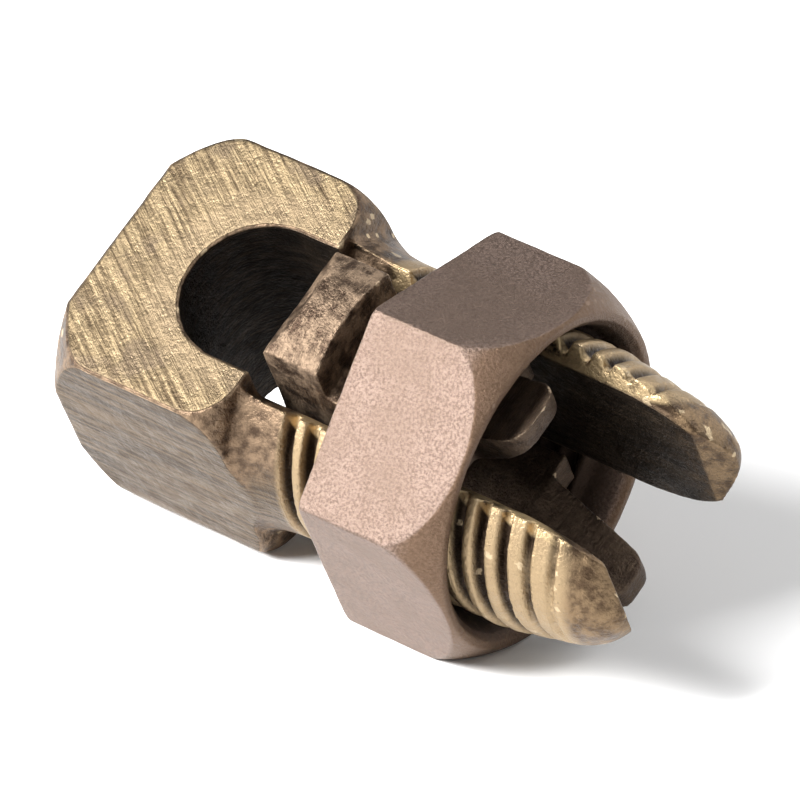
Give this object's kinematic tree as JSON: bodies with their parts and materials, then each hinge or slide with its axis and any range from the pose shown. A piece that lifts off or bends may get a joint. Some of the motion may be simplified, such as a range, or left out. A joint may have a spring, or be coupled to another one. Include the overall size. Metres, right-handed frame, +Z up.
{
  "type": "split bolt connector",
  "caption": "Split bolt cable connector: slotted bolt body, hexagon nut and a captive pressure bar that clamps conductors in the slot.",
  "frame": {"origin": "bottom centre of the overall box, on the ground under the bolt's axis", "axes": "+X along the bolt's axis from the head to the tips of the legs, +Z up; the slot leans 30 degrees from +Z towards -Y"},
  "size_m": [0.046, 0.0294, 0.0261],
  "materials": {
    "bolt_bronze": "ground and worn, brown patina",
    "nut_bronze": "blasted, pinkish brown patina",
    "bar_bronze": "mottled patina with worn edges"
  },
  "bodies": {
    "bolt": {"bolt_body": "bolt_bronze"},
    "bar": {"pressure_bar": "bar_bronze"},
    "nut": {"hex_nut": "nut_bronze"}
  },
  "joints": [
    {"name": "bar_slide", "type": "slide", "parent": "bolt", "child": "bar", "axis": [1, 0, 0], "range_m": [-0.00364, 0.01815]},
    {"name": "nut_turn", "type": "hinge", "parent": "bar", "child": "nut", "pos_m": [0, 0, 0.0127], "axis": [1, 0, 0], "range_deg": [-720, 3600]}
  ],
  "couplings": [
    {"joint": "bar_slide", "follows": "nut_turn", "m_per_rad": 0.00028871}
  ]
}
